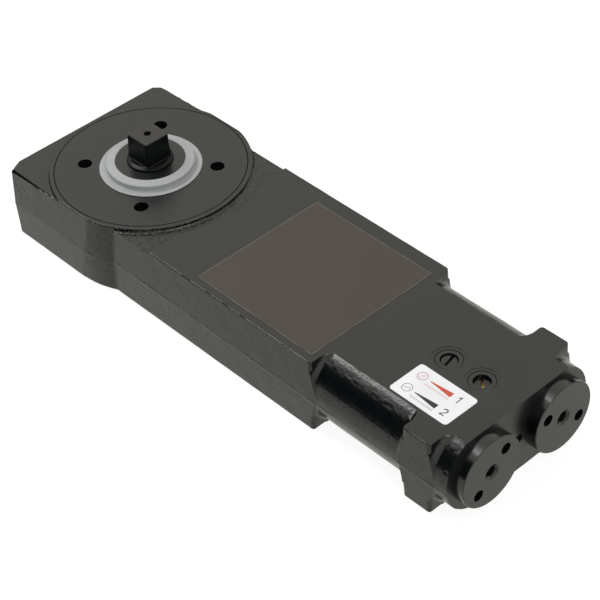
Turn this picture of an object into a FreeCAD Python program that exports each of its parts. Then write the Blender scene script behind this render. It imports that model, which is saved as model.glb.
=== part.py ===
"""Transom door closer: a cast body with two parallel cylinders, a pinion spindle and two rack pistons.

The frame: origin on the spindle's axis at the body's back face, +X along the body towards the two
end caps, +Z out of the back face towards the spindle's square, +Y across. Millimetres.
"""

import FreeCAD, Part
import math
import os

Vector = FreeCAD.Vector
X_AXIS = Vector(1, 0, 0)
Y_AXIS = Vector(0, 1, 0)
Z_AXIS = Vector(0, 0, 1)
SIDES = {"left": -1, "right": 1}

# Cylinders
cylinder_bore_radius = 13.0
cylinder_wall = 6.2
cylinder_offset = 20.0
tube_fillet = 3.0
web_floor_z = 1.5
head_wall = 4.4
bore_end_gap = 1.0

# Casting, seen from above
end_face_x = 212.6
shoulder_x = 140.4
ear_setback = 23.0
ear_length = 14.1
tube_proud = 0.5
boss_overhang = 5.4
boss_end_wall = 2.8
head_inset = 1.05
head_reach = 3.0
near_corner_length = 3.3
near_corner_width = 7.0
far_corner_length = 3.5
far_corner_width = 3.3
corner_round = 1.5
side_fillet = 5.0
groove_width = 5.4
raised_face_inset = 5.9

# Casting, seen from the side; the top face takes the crowns off the cylinders
top_facing = 1.9
parting_z = 16.8
side_draft = 0.6
bottom_round = 1.0
head_face_drop = 1.7
boss_foot_inset = 1.2
boss_parting_inset = 0.2
boss_fillet = 1.2
fillet_steps = 3

# Spindle chamber under the cover
chamber_radius = 26.0
lower_pocket_z = 3.0
lower_cup_margin = 0.2

# Cover
cover_thickness = 7.6
cover_gap = 0.1
cover_rim_wall = 2.0
cover_chamfer = 0.25
hub_radius = 15.2
hub_height = 3.5
hub_lip = 1.0
spanner_hole_radius = 3.15
spanner_hole_depth = 5.0
spanner_circle_inset = 13.05
spanner_hole_count = 4
spanner_turn = 41.7
cover_ring_height = 2.0
cover_ring_depth = 1.8
cover_ring_drop = 2.0

# Lip seal under the hub's top
seal_wall = 1.0
seal_web_share = 0.4
seal_lip_width = 0.7
seal_lip_share = 0.75
seal_lip_relief = 0.3

# Light ring on the cover's hub
ring_flange_radius = 22.3
ring_flange_height = 0.5
ring_radius = 19.2
ring_height = 3.15
ring_crown = 0.6
ring_edge = 0.25

# Pinion spindle
journal_radius = 10.0
lower_journal_radius = 8.0
lower_journal_chamfer = 0.5
shaft_clearance = 0.15
collar_rise = 0.9
collar_edge = 0.3
shoulder_rise = 0.6
shoulder_radius = 8.3
square_width = 13.0
square_turned_radius = 8.5
square_foot_radius = 9.2
square_bevel_reach = 0.35
square_bevel_rise = 0.25
square_length = 11.9
square_chamfer = 0.35
arm_hole_radius = 1.65
arm_hole_depth = 14.0
washer_thickness = 1.0
washer_margin = 1.0

# Pinion and racks
gear_module = 1.5
pinion_teeth = 12
pressure_angle = math.radians(20.0)
profile_shift = 0.3
root_clearance = 0.25
rack_backlash = 0.12
flank_steps = 6
mesh_reach = 7.0
rack_face_step = 0.4
rack_end_margin = 1.44
pinion_floor_gap = 1.2

# Needle bearings
needle_diameter = 2.0
needle_count = 12
needle_clearance = 0.02
cup_wall = 1.0
cage_wall = 0.7
lower_needle_length = 4.0
upper_needle_length = 4.8
cage_rim = 0.8

# Rack pistons
swing_limit = 105.0
piston_start_x = 60.0
piston_length = 22.0
piston_clearance = 0.03
piston_chamfer = 0.6
piston_ring_width = 3.0
piston_ring_depth = 1.2
piston_ring_clearance = 0.02
piston_ring_setback = 8.0
spigot_length = 7.0
spigot_gap = 1.4
spigot_chamfer = 0.8

# Check valve in each piston
check_ball_radius = 2.5
check_ball_clearance = 0.05
check_ball_lift = 1.0
check_seat_gap = 0.01
check_port_radius = 1.6
check_port_setback = 10.0
check_chamber_length = 12.5
check_pin_radius = 0.75

# Springs, of square wire
spring_wire = 4.0
spring_side_gap = 1.1
spring_turns = 7.0

# End caps
cap_flange_step = 2.8
cap_flange_thickness = 5.3
cap_flange_chamfer = 0.3
cap_plug_step = 1.5
cap_plug_length = 14.0
cap_plug_chamfer = 0.8
cap_bore_allowance = 1.0
cap_hole_radius = 2.5
cap_hole_depth = 11.0
cap_hole_mouth_radius = 3.65
cap_pin_hole_radius = 2.5
cap_pin_hole_depth = 4.5
cap_pin_circle_radius = 10.3
cap_turns = {"left": 45.0, "right": -28.0}
cap_ring_width = 2.4
cap_ring_depth = 1.6
cap_ring_setback = 3.0

# Speed valves between the cylinders
valve_setback = {"sweep": 35.7, "latch": 18.6}
valve_head_depth = {"sweep": 0.7, "latch": 1.5}
valve_slot_turn = {"sweep": 102.5, "latch": 142.5}
spot_face_radius = 7.2
spot_face_depth = 0.15
bush_radius = 5.7
bush_length = 12.0
bush_edge = 0.3
bush_sunk = 0.1
bush_mouth_radius = 3.7
bush_mouth_depth = 3.4
valve_head_radius = 3.4
valve_head_length = 6.0
valve_head_chamfer = 0.25
valve_stem_radius = 2.3
valve_stem_gap = 0.2
valve_tip_length = 2.2
valve_tip_radius = 0.6
valve_tip_gap = 0.2
valve_clearance = 0.05
valve_slot_width = 1.3
valve_slot_depth = 1.3
valve_ring_width = 1.5
valve_ring_depth = 0.8

# Oil ways between the cylinders
gallery_z = 18.0
gallery_radius = 2.0
gallery_plug_radius = 2.5
gallery_plug_length = 4.0
gallery_plug_sunk = 0.8
gallery_plug_key_radius = 1.2
gallery_plug_key_depth = 2.0
cross_port_radius = 1.5

# Labels
label_thickness = 0.15
name_label_margin = 2.9
name_label_length = 66.8
name_label_y = -35.0
name_label_width = 66.6
name_label_round = 0.6
notice_label_setback = 41.5
notice_label_length = 29.6
notice_label_outset = 7.2
notice_label_width = 18.2
notice_label_round = 1.6

# How far a cutting solid runs past a face, and how far a joined form reaches into its neighbour
overrun = 1.0
overlap = 1.0

# Derived sizes of the casting
tube_radius = cylinder_bore_radius + cylinder_wall
cylinder_z = tube_radius
body_height = 2 * tube_radius - top_facing
body_half_width = cylinder_offset + tube_radius - tube_proud
boss_radius = body_half_width + boss_overhang
boss_foot_radius = boss_radius - boss_foot_inset
boss_parting_radius = boss_radius - boss_parting_inset
head_half_width = boss_radius - head_inset
groove_radius = boss_radius + groove_width
raised_face_x = groove_radius - raised_face_inset
head_face_z = body_height - head_face_drop
boss_top_z = body_height
ear_start_x = end_face_x - ear_setback
ear_end_x = ear_start_x + ear_length

# Derived sizes of the cover and bearings
cover_radius = boss_radius - cover_rim_wall - cover_gap
recess_radius = cover_radius + cover_gap
spanner_circle_radius = cover_radius - spanner_circle_inset
cover_floor_z = boss_top_z - cover_thickness
hub_top_z = boss_top_z + hub_height
cover_ring_z = boss_top_z - cover_ring_drop - cover_ring_height
upper_cup_radius = journal_radius + needle_diameter + cup_wall
upper_cup_top_z = cover_floor_z + 2 * cage_rim + upper_needle_length + 2 * needle_clearance
lower_cup_radius = lower_journal_radius + needle_diameter + cup_wall
chamber_floor_z = lower_pocket_z + lower_needle_length + 2 * cage_rim + lower_cup_margin
needle_radius = needle_diameter / 2 - needle_clearance

# Derived sizes of the spindle, pinion and racks
collar_z = hub_top_z + collar_rise
square_foot_z = collar_z + shoulder_rise
square_top_z = square_foot_z + square_length
lower_spindle_z = lower_pocket_z + washer_thickness
pinion_floor_z = chamber_floor_z + pinion_floor_gap
pinion_top_z = cover_floor_z - washer_thickness
pitch_radius = gear_module * pinion_teeth / 2
pinion_tip_radius = pitch_radius + gear_module * (1 + profile_shift)
pinion_root_radius = pitch_radius - gear_module * (1 + root_clearance - profile_shift)
rack_line_y = pitch_radius + gear_module * profile_shift
rack_tip_y = rack_line_y - gear_module
rack_root_y = rack_line_y + gear_module * (1 + root_clearance)
rack_pitch = math.pi * gear_module
rack_travel = pitch_radius * math.radians(swing_limit)
rack_spaces_each_way = math.ceil((rack_travel + mesh_reach) / rack_pitch)
rack_end_x = -(rack_spaces_each_way * rack_pitch + rack_end_margin)
bore_end_x = rack_end_x - rack_travel - bore_end_gap
head_end_x = min(bore_end_x - head_wall, -(boss_radius + boss_end_wall))

# Derived sizes of the pistons, springs and caps
piston_radius = cylinder_bore_radius - piston_clearance
piston_end_x = piston_start_x + piston_length
spring_mean_radius = cylinder_bore_radius - spring_side_gap - spring_wire / 2
spigot_radius = spring_mean_radius - spring_wire / 2 - spigot_gap
check_seat_x = piston_end_x + spigot_length - check_chamber_length
check_ball_x = check_seat_x + (check_ball_radius + check_seat_gap) * math.sqrt(2)
check_pin_x = check_ball_x + check_ball_radius + check_ball_lift + check_pin_radius
cap_flange_radius = cylinder_bore_radius + cap_flange_step
cap_plug_radius = cylinder_bore_radius + cap_plug_step
cap_plug_end_x = end_face_x - cap_plug_length
cap_face_x = end_face_x + cap_flange_thickness

# Derived sizes of the valves and labels
valve_x = {name: end_face_x - setback for name, setback in valve_setback.items()}
bush_top_z = body_height - spot_face_depth - bush_sunk
bush_floor_z = bush_top_z - bush_length
name_label_x = shoulder_x - name_label_margin - name_label_length
notice_label_x = end_face_x - notice_label_setback
notice_label_y = -cylinder_offset - notice_label_outset


def cylinder(radius, start, length, direction=Z_AXIS):
    return Part.makeCylinder(radius, length, start, direction)


def cone(start_radius, end_radius, start, length, direction=Z_AXIS):
    return Part.makeCone(start_radius, end_radius, length, start, direction)


def block(x0, x1, y0, y1, z0, z1):
    return Part.makeBox(x1 - x0, y1 - y0, z1 - z0, Vector(x0, y0, z0))


def tube(outer, inner, start, length, direction=Z_AXIS):
    return cylinder(outer, start, length, direction).cut(cylinder(inner, start, length, direction))


def turned(profile, centre, axis):
    """Revolve a closed (radius, height) profile about an axis through the centre."""
    across = Vector(1, 0, 0) if axis == Z_AXIS else Vector(0, 0, 1)
    points = [centre + across * radius + axis * height for radius, height in profile]
    face = Part.Face(Part.makePolygon(points + points[:1]))
    return face.revolve(centre, axis, 360)


def rounded(solid, radius, wanted):
    """Fillet the edges of a solid that the test picks."""
    return solid.makeFillet(radius, [edge for edge in solid.Edges if wanted(edge)])


def chamfered(solid, size, wanted):
    """Chamfer the edges of a solid that the test picks."""
    return solid.makeChamfer(size, [edge for edge in solid.Edges if wanted(edge)])


def at_height(z):
    return lambda edge: all(abs(vertex.Z - z) < 1e-4 for vertex in edge.Vertexes)


def at_station(x):
    return lambda edge: all(abs(vertex.X - x) < 1e-4 for vertex in edge.Vertexes)


def bore_centre(side, x=0.0):
    return Vector(x, side * cylinder_offset, cylinder_z)


# Body casting

def round_cornered(points, z):
    """A closed wire at one height, with an arc of the corner round at each of its points."""
    arcs = []
    for index, (x, y) in enumerate(points):
        corner = Vector(x, y, z)
        before = (Vector(*points[index - 1], z) - corner).normalize()
        after = (Vector(*points[(index + 1) % len(points)], z) - corner).normalize()
        half_angle = before.getAngle(after) / 2
        reach = corner_round / math.tan(half_angle)
        inward = (before + after).normalize()
        middle = corner + inward * (corner_round / math.sin(half_angle) - corner_round)
        arcs.append((corner + before * reach, middle, corner + after * reach))
    edges = []
    for arc, following in zip(arcs, arcs[1:] + arcs[:1]):
        edges.append(Part.Arc(*arc).toShape())
        edges.append(Part.LineSegment(arc[2], following[0]).toShape())
    return Part.Wire(edges)


def half_casting(outline, z_face):
    """One half of a drafted block: the outline on its face grows by the draft at the parting line."""
    wires = [round_cornered(outline(grow), z)
             for z, grow in ((z_face, 0.0), (parting_z, side_draft))]
    return Part.makeLoft(wires, True, True)


def drafted_block(outline, top_z):
    """A sand-cast block that is widest at the parting line, with rounded corners and lower edges."""
    lower = rounded(half_casting(outline, 0.0), bottom_round, at_height(0.0))
    whole = lower.fuse(half_casting(outline, body_height))
    return whole.cut(block(head_end_x - tube_radius, end_face_x + tube_radius,
                           -groove_radius, groove_radius, top_z, body_height + tube_radius))


def bar_outline(x0, x1, half_width, grow_start, grow_end):
    """A rectangle along X whose ends lean with the draft only where the ends are free."""
    def outline(grow):
        left = x0 - grow * grow_start
        right = x1 + grow * grow_end
        wide = half_width + grow
        return [(left, -wide), (right, -wide), (right, wide), (left, wide)]
    return outline


def head_outline(reach):
    """The head with its two unequal cast corners; its straight sides end at the reach."""
    def outline(grow):
        wide = head_half_width + grow
        end = head_end_x - grow
        return [
            (reach, -wide),
            (reach, wide),
            (end + far_corner_length, wide),
            (end, wide - far_corner_width),
            (end, -wide + near_corner_width),
            (end + near_corner_length, -wide),
        ]
    return outline


def round_boss():
    """The round wall about the cover, cut flush with the head's sides."""
    lower = cone(boss_foot_radius, boss_parting_radius, Vector(), parting_z)
    lower = rounded(lower, bottom_round, at_height(0.0))
    upper = cone(boss_parting_radius, boss_radius, Vector(0, 0, parting_z),
                 boss_top_z - parting_z)
    return lower.fuse(upper).common(drafted_block(head_outline(groove_radius), boss_top_z))


def tube_collar(side, x, direction):
    """The cast fillet between a cylinder and the shoulder or ear that it runs into.

    Its wide end is buried there, so it also fills the rounded corner beside the cylinder.
    """
    size = tube_fillet
    steps = [math.radians(angle) for angle in (0, 45, 90)]
    arc = [
        Vector(x + direction * size * (1 - math.sin(a)), side * cylinder_offset,
               cylinder_z + tube_radius + size * (1 - math.cos(a)))
        for a in steps
    ]
    buried_x = x - direction * (corner_round + overlap)
    inner_z = cylinder_z + tube_radius - overlap
    corners = [
        arc[2],
        Vector(buried_x, side * cylinder_offset, arc[2].z),
        Vector(buried_x, side * cylinder_offset, inner_z),
        Vector(x + direction * size, side * cylinder_offset, inner_z),
        arc[0],
    ]
    lines = [Part.LineSegment(start, end).toShape() for start, end in zip(corners, corners[1:])]
    wire = Part.Wire([Part.Arc(*arc).toShape()] + lines)
    return Part.Face(wire).revolve(bore_centre(side), X_AXIS, 360)


def side_web_fillet(side):
    """The fillet where the round boss runs into the narrower body, up from its bevelled foot."""
    share = bottom_round / parting_z
    sizes = [
        (0.0, boss_foot_radius - bottom_round, body_half_width - bottom_round),
        (bottom_round, boss_foot_radius + share * (boss_parting_radius - boss_foot_radius),
         body_half_width + share * side_draft),
        (parting_z, boss_parting_radius, body_half_width + side_draft),
        (body_height, boss_radius, body_half_width),
    ]
    wires = [side_fillet_section(side, *size) for size in sizes]
    parts = [Part.makeLoft([lower, upper], True, True) for lower, upper in zip(wires, wires[1:])]
    return parts[0].fuse(parts[1:])


def side_fillet_section(side, z, circle, wide):
    """A three-cornered section between the boss's circle and the body's side, with a hollow arc."""
    centre_y = wide + side_fillet
    centre_x = math.sqrt((circle + side_fillet) ** 2 - centre_y ** 2)
    on_side = Vector(centre_x, side * wide, z)
    share = circle / (circle + side_fillet)
    on_circle = Vector(centre_x * share, side * centre_y * share, z)
    middle = (on_side + on_circle) * 0.5
    centre = Vector(centre_x, side * centre_y, z)
    outward = (middle - centre).normalize()
    buried = Vector(on_circle.x - side_fillet, side * (wide - side_fillet), z)
    return Part.Wire([
        Part.Arc(on_circle, centre + outward * side_fillet, on_side).toShape(),
        Part.LineSegment(on_side, buried).toShape(),
        Part.LineSegment(buried, on_circle).toShape(),
    ])


def boss_foot_ring():
    """The cast fillet round the boss's foot, in the groove towards the body."""
    profile = [(boss_radius - overlap, 0.0)]
    for step in range(fillet_steps + 1):
        angle = math.pi / 2 * step / fillet_steps
        profile.append((boss_radius + boss_fillet * (1 - math.sin(angle)),
                        boss_fillet * (1 - math.cos(angle))))
    profile.append((boss_radius - overlap, boss_fillet))
    return turned(profile, Vector(0, 0, head_face_z), Z_AXIS)


def casting_outside():
    head = drafted_block(head_outline(head_reach), head_face_z)
    body = drafted_block(bar_outline(0.0, shoulder_x, body_half_width, 0, 1), body_height)
    ears = drafted_block(bar_outline(ear_start_x, ear_end_x, body_half_width, 1, 1), body_height)
    envelope = drafted_block(bar_outline(0.0, end_face_x, body_half_width, 0, 0), body_height)
    lowered = block(-groove_radius, raised_face_x, -groove_radius, groove_radius,
                    head_face_z, body_height + overrun)
    lowered = lowered.fuse(cylinder(groove_radius, Vector(0, 0, head_face_z), cover_thickness))
    fillets = [side_web_fillet(side) for side in SIDES.values()]
    raised = [round_boss(), boss_foot_ring().common(envelope)]
    shape = head.fuse([body] + fillets).cut(lowered).fuse(raised)
    tubes = [
        cylinder(tube_radius, bore_centre(side, shoulder_x - tube_radius),
                 end_face_x - shoulder_x + tube_radius, X_AXIS)
        for side in SIDES.values()
    ]
    collars = [
        tube_collar(side, x, direction).common(envelope)
        for side in SIDES.values()
        for x, direction in ((shoulder_x, 1), (ear_start_x, -1), (ear_end_x, 1))
    ]
    web = block(shoulder_x - tube_radius, end_face_x, -cylinder_offset, cylinder_offset,
                web_floor_z, body_height)
    shape = shape.fuse([ears, web] + tubes + collars)
    above = block(raised_face_x, end_face_x + overrun, -head_half_width, head_half_width,
                  body_height, body_height + tube_radius)
    return shape.cut(above)


def casting_hollows():
    """Everything that is bored, faced or drilled in the casting."""
    hollows = [
        cylinder(recess_radius, Vector(0, 0, cover_floor_z), cover_thickness + overrun),
        cylinder(chamber_radius, Vector(0, 0, chamber_floor_z), cover_floor_z - chamber_floor_z),
        cylinder(lower_cup_radius, Vector(0, 0, lower_pocket_z), chamber_floor_z - lower_pocket_z),
        cylinder(gallery_radius, Vector(chamber_radius - overrun, 0, gallery_z),
                 end_face_x - chamber_radius, X_AXIS),
        cylinder(gallery_plug_radius,
                 Vector(end_face_x - gallery_plug_sunk - gallery_plug_length, 0, gallery_z),
                 gallery_plug_length + gallery_plug_sunk + overrun, X_AXIS),
    ]
    for side in SIDES.values():
        hollows.append(cylinder(cylinder_bore_radius, bore_centre(side, bore_end_x),
                                end_face_x - bore_end_x + overrun, X_AXIS))
        hollows.append(cylinder(cap_plug_radius,
                                bore_centre(side, cap_plug_end_x - cap_bore_allowance),
                                cap_plug_length + cap_bore_allowance + overrun, X_AXIS))
    for x in valve_x.values():
        hollows.append(cylinder(spot_face_radius, Vector(x, 0, body_height - spot_face_depth),
                                spot_face_depth + overrun))
        hollows.append(cylinder(bush_radius, Vector(x, 0, bush_floor_z), bush_length + overrun))
        hollows.append(cylinder(valve_stem_radius + valve_stem_gap, Vector(x, 0, gallery_z),
                                bush_floor_z - gallery_z))
    middle_x = (valve_x["sweep"] + valve_x["latch"]) / 2
    hollows.append(cylinder(cross_port_radius, Vector(middle_x, -cylinder_offset, gallery_z),
                            2 * cylinder_offset, Y_AXIS))
    return hollows


def body_casting():
    """The casting with its hollows cut one after another, which holds for wider bores too."""
    casting = casting_outside()
    for hollow in casting_hollows():
        casting = casting.cut(hollow)
    return casting.removeSplitter()


# Cover, its seals and the light ring

def spindle_cover():
    """The screwed-in cover: a thick disc with a raised hub round the spindle."""
    cover = cylinder(cover_radius, Vector(0, 0, cover_floor_z), cover_thickness)
    cover = chamfered(cover, cover_chamfer, at_height(boss_top_z))
    cover = cover.fuse(cylinder(hub_radius, Vector(0, 0, boss_top_z - overlap),
                                hub_height + overlap))
    cuts = [
        cylinder(upper_cup_radius, Vector(0, 0, cover_floor_z),
                 hub_top_z - hub_lip - cover_floor_z),
        cylinder(journal_radius + shaft_clearance, Vector(0, 0, cover_floor_z),
                 cover_thickness + hub_height + overrun),
        tube(cover_radius + overrun, cover_radius - cover_ring_depth,
             Vector(0, 0, cover_ring_z), cover_ring_height),
    ]
    for index in range(spanner_hole_count):
        turn = math.radians(spanner_turn + index * 360 / spanner_hole_count)
        place = polar(spanner_circle_radius, turn, boss_top_z - spanner_hole_depth)
        cuts.append(cylinder(spanner_hole_radius, place, spanner_hole_depth + overrun))
    return cover.cut(cuts)


def cover_seal_ring():
    """Rubber ring in the cover's rim, squeezed to the recess wall."""
    return tube(recess_radius, cover_radius - cover_ring_depth, Vector(0, 0, cover_ring_z),
                cover_ring_height)


def hub_ring():
    """Light stepped ring that sits round the hub, its top crowned towards the middle."""
    return turned([
        (hub_radius, 0.0),
        (ring_flange_radius - ring_edge, 0.0),
        (ring_flange_radius, ring_flange_height / 2),
        (ring_flange_radius - ring_edge, ring_flange_height),
        (ring_radius + ring_edge, ring_flange_height),
        (ring_radius, ring_flange_height + ring_edge),
        (ring_radius, ring_height - ring_edge),
        (ring_radius - ring_edge, ring_height),
        (hub_radius + ring_edge, ring_height + ring_crown),
        (hub_radius, ring_height + ring_crown - ring_edge),
    ], Vector(0, 0, boss_top_z), Z_AXIS)


def shaft_seal():
    """Lip seal under the hub's top, with a garter groove."""
    height = hub_top_z - hub_lip - upper_cup_top_z
    lip = journal_radius + needle_clearance
    return turned([
        (upper_cup_radius, 0.0),
        (upper_cup_radius, height),
        (upper_cup_radius - seal_wall, height),
        (upper_cup_radius - seal_wall, seal_web_share * height),
        (lip + seal_lip_width, seal_web_share * height),
        (lip + seal_lip_width, height),
        (lip, seal_lip_share * height),
        (lip + seal_lip_relief, 0.0),
    ], Vector(0, 0, upper_cup_top_z), Z_AXIS)


# Needle bearings and washers

def bearing_cup(shaft_radius, z0, z1):
    return tube(shaft_radius + needle_diameter + cup_wall, shaft_radius + needle_diameter,
                Vector(0, 0, z0), z1 - z0)


def needle_set(shaft_radius, z0, length):
    """A cage with its needles: two rims, and the needles between them touching neither race."""
    middle = shaft_radius + needle_diameter / 2
    inner = middle - cage_wall / 2
    outer = middle + cage_wall / 2
    cage = tube(outer, inner, Vector(0, 0, z0), length + 2 * cage_rim)
    needles = []
    pockets = []
    half = needle_radius + needle_clearance
    for index in range(needle_count):
        turn = 360 * index / needle_count
        place = polar(middle, math.radians(turn), z0 + cage_rim)
        needles.append(cylinder(needle_radius, place, length))
        pocket = block(inner - cage_wall, outer + cage_wall, -half, half,
                       z0 + cage_rim, z0 + cage_rim + length)
        pocket.rotate(Vector(), Z_AXIS, turn)
        pockets.append(pocket)
    return Part.makeCompound([cage.cut(pockets)] + needles)


def upper_needles():
    return needle_set(journal_radius, cover_floor_z + needle_clearance, upper_needle_length)


def lower_needles():
    return needle_set(lower_journal_radius, lower_pocket_z + needle_clearance,
                      lower_needle_length)


def upper_bearing_cup():
    return bearing_cup(journal_radius, cover_floor_z, upper_cup_top_z)


def lower_bearing_cup():
    return bearing_cup(lower_journal_radius, lower_pocket_z, chamber_floor_z)


def lower_washer():
    """Thrust washer on the floor of the lower pocket, inside the needle cage."""
    return cylinder(lower_journal_radius - washer_margin, Vector(0, 0, lower_pocket_z),
                    washer_thickness)


def upper_washer():
    """Thrust washer between the pinion's teeth and the cover."""
    return tube(upper_cup_radius + washer_margin, journal_radius + shaft_clearance,
                Vector(0, 0, pinion_top_z), washer_thickness)


# Pinion spindle

def involute(angle):
    return math.tan(angle) - angle


def polar(radius, angle, z=0.0):
    return Vector(radius * math.cos(angle), radius * math.sin(angle), z)


def flank_points(centre_angle, hand, z):
    """Points up one involute flank of a tooth, from the root circle to the tip."""
    base = pitch_radius * math.cos(pressure_angle)
    half_pitch_angle = (math.pi / 2 + 2 * profile_shift * math.tan(pressure_angle)) / pinion_teeth
    half_base_angle = half_pitch_angle + involute(pressure_angle)
    points = [polar(pinion_root_radius, centre_angle + hand * half_base_angle, z)]
    for step in range(flank_steps + 1):
        radius = base + (pinion_tip_radius - base) * step / flank_steps
        roll = math.acos(base / radius)
        points.append(polar(radius, centre_angle + hand * (half_base_angle - involute(roll)), z))
    return points


def tooth_edges(centre_angle, z):
    """Root line, involute, tip arc, involute, root line of one tooth, anticlockwise."""
    rising = flank_points(centre_angle, -1, z)
    falling = flank_points(centre_angle, 1, z)
    falling.reverse()
    up = Part.BSplineCurve()
    up.interpolate(rising[1:])
    down = Part.BSplineCurve()
    down.interpolate(falling[:-1])
    tip = polar(pinion_tip_radius, centre_angle, z)
    return rising[0], falling[-1], [
        Part.LineSegment(rising[0], rising[1]).toShape(),
        up.toShape(),
        Part.Arc(rising[-1], tip, falling[0]).toShape(),
        down.toShape(),
        Part.LineSegment(falling[-2], falling[-1]).toShape(),
    ]


def pinion_teeth_solid():
    """The toothed part: a tooth points along +Y and another along -Y at rest."""
    tooth_angle = 2 * math.pi / pinion_teeth
    edges = []
    for index in range(pinion_teeth):
        centre = math.pi / 2 + index * tooth_angle
        start, end, tooth = tooth_edges(centre, pinion_floor_z)
        next_start = tooth_edges(centre + tooth_angle, pinion_floor_z)[0]
        edges += tooth
        root = polar(pinion_root_radius, centre + tooth_angle / 2, pinion_floor_z)
        edges.append(Part.Arc(end, root, next_start).toShape())
    face = Part.Face(Part.Wire(edges))
    return face.extrude(Vector(0, 0, pinion_top_z - pinion_floor_z))


def drive_square():
    """The square, bevelled out at its foot; the tapered bar leaves its corners round."""
    half = square_width / 2
    foot = square_foot_z - overlap
    square = block(-half, half, -half, half, foot, square_top_z)
    square = square.fuse(Part.makeLoft([
        square_wire(half + square_bevel_reach, square_foot_z),
        square_wire(half, square_foot_z + square_bevel_rise),
    ], True, True))
    bar = cone(square_foot_radius, square_turned_radius, Vector(0, 0, foot),
               square_length + overlap)
    return chamfered(square.common(bar), square_chamfer, at_height(square_top_z))


def square_wire(half, z):
    corners = [Vector(-half, -half, z), Vector(half, -half, z), Vector(half, half, z),
               Vector(-half, half, z)]
    return Part.makePolygon(corners + corners[:1])


def collared_journal():
    """The upper journal, with a sloping shoulder round the square's foot."""
    journal = cylinder(journal_radius, Vector(0, 0, pinion_top_z), collar_z - pinion_top_z)
    shoulder = cone(journal_radius, shoulder_radius, Vector(0, 0, collar_z), shoulder_rise)
    return rounded(journal.fuse(shoulder), collar_edge, at_height(collar_z))


def pinion_spindle():
    lower_length = pinion_floor_z - lower_spindle_z
    spindle = cylinder(lower_journal_radius, Vector(0, 0, lower_spindle_z), lower_length)
    spindle = chamfered(spindle, lower_journal_chamfer, at_height(lower_spindle_z))
    spindle = spindle.fuse([pinion_teeth_solid(), collared_journal(), drive_square()])
    drilled = cylinder(arm_hole_radius, Vector(0, 0, square_top_z - arm_hole_depth),
                       arm_hole_depth + overrun)
    return spindle.cut(drilled).removeSplitter()


# Rack pistons

def rack_tooth_space(side, x):
    """One space between two rack teeth, cut from inside, centred at x."""
    slope = math.tan(pressure_angle)
    tip_y = rack_tip_y - overrun
    half_line = (rack_pitch / 2 + rack_backlash) / 2
    half_root = half_line - (rack_root_y - rack_line_y) * slope
    half_tip = half_line + (rack_line_y - tip_y) * slope
    z0 = cylinder_z - cylinder_bore_radius
    points = [
        Vector(x - half_tip, side * tip_y, z0),
        Vector(x + half_tip, side * tip_y, z0),
        Vector(x + half_root, side * rack_root_y, z0),
        Vector(x - half_root, side * rack_root_y, z0),
    ]
    face = Part.Face(Part.makePolygon(points + points[:1]))
    return face.extrude(Vector(0, 0, 2 * cylinder_bore_radius))


def rack_bar(side):
    """The bar milled flat above, below and towards the pinion, with the rack's teeth in it.

    The pinion has a tooth at +Y, and at -Y too if it has an even number of teeth; a rack space
    stands against each tooth at rest.
    """
    length = piston_start_x - rack_end_x + overlap
    bar = cylinder(piston_radius, bore_centre(side, rack_end_x), length, X_AXIS)
    bar = chamfered(bar, piston_chamfer, at_station(rack_end_x))
    outer_y = cylinder_offset + cylinder_bore_radius
    ys = sorted((side * rack_tip_y, side * outer_y))
    flats = block(rack_end_x, rack_end_x + length, ys[0], ys[1],
                  pinion_floor_z + rack_face_step, pinion_top_z - rack_face_step)
    phase = rack_pitch / 2 if side < 0 and pinion_teeth % 2 else 0.0
    spaces = [rack_tooth_space(side, index * rack_pitch + phase)
              for index in range(-rack_spaces_each_way, rack_spaces_each_way + 1)]
    return bar.common(flats).cut(spaces)


def piston_head(side):
    """The round head with its ring groove, spring spigot and check valve passage."""
    start = bore_centre(side, piston_start_x)
    head = cylinder(piston_radius, start, piston_length, X_AXIS)
    head = chamfered(head, piston_chamfer,
                     lambda edge: at_station(piston_start_x)(edge) or at_station(piston_end_x)(edge))
    groove_x = piston_start_x + piston_ring_setback
    head = head.cut(tube(piston_radius + overrun, piston_radius - piston_ring_depth,
                         bore_centre(side, groove_x), piston_ring_width, X_AXIS))
    spigot = cylinder(spigot_radius, bore_centre(side, piston_end_x - overlap),
                      spigot_length + overlap, X_AXIS)
    spigot = chamfered(spigot, spigot_chamfer, at_station(piston_end_x + spigot_length))
    return head.fuse(spigot)


def check_passage(side):
    """The oil's way through a piston: a cross port, an axial port, the ball's seat and chamber."""
    chamber = check_ball_radius + check_ball_clearance
    port_x = piston_start_x - check_port_setback
    cross_start = bore_centre(side, port_x) - Vector(0, 0, piston_radius)
    return [
        cylinder(check_port_radius, cross_start, 2 * piston_radius),
        cylinder(check_port_radius, bore_centre(side, port_x),
                 check_seat_x + check_port_radius - port_x, X_AXIS),
        cone(0.0, chamber, bore_centre(side, check_seat_x), chamber, X_AXIS),
        cylinder(chamber, bore_centre(side, check_seat_x + chamber), check_chamber_length, X_AXIS),
    ]


def rack_piston(side):
    piston = rack_bar(side).fuse(piston_head(side))
    return piston.cut(check_passage(side) + [check_pin(side)]).removeSplitter()


def check_pin(side):
    """Cross pin that keeps the ball in the piston."""
    start = Vector(check_pin_x, side * cylinder_offset - spigot_radius, cylinder_z)
    return cylinder(check_pin_radius, start, 2 * spigot_radius, Y_AXIS)


def check_ball(side):
    return Part.makeSphere(check_ball_radius, bore_centre(side, check_ball_x))


def piston_ring(side):
    start = bore_centre(side, piston_start_x + piston_ring_setback)
    return tube(cylinder_bore_radius - piston_ring_clearance, piston_radius - piston_ring_depth,
                start, piston_ring_width, X_AXIS)


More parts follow.
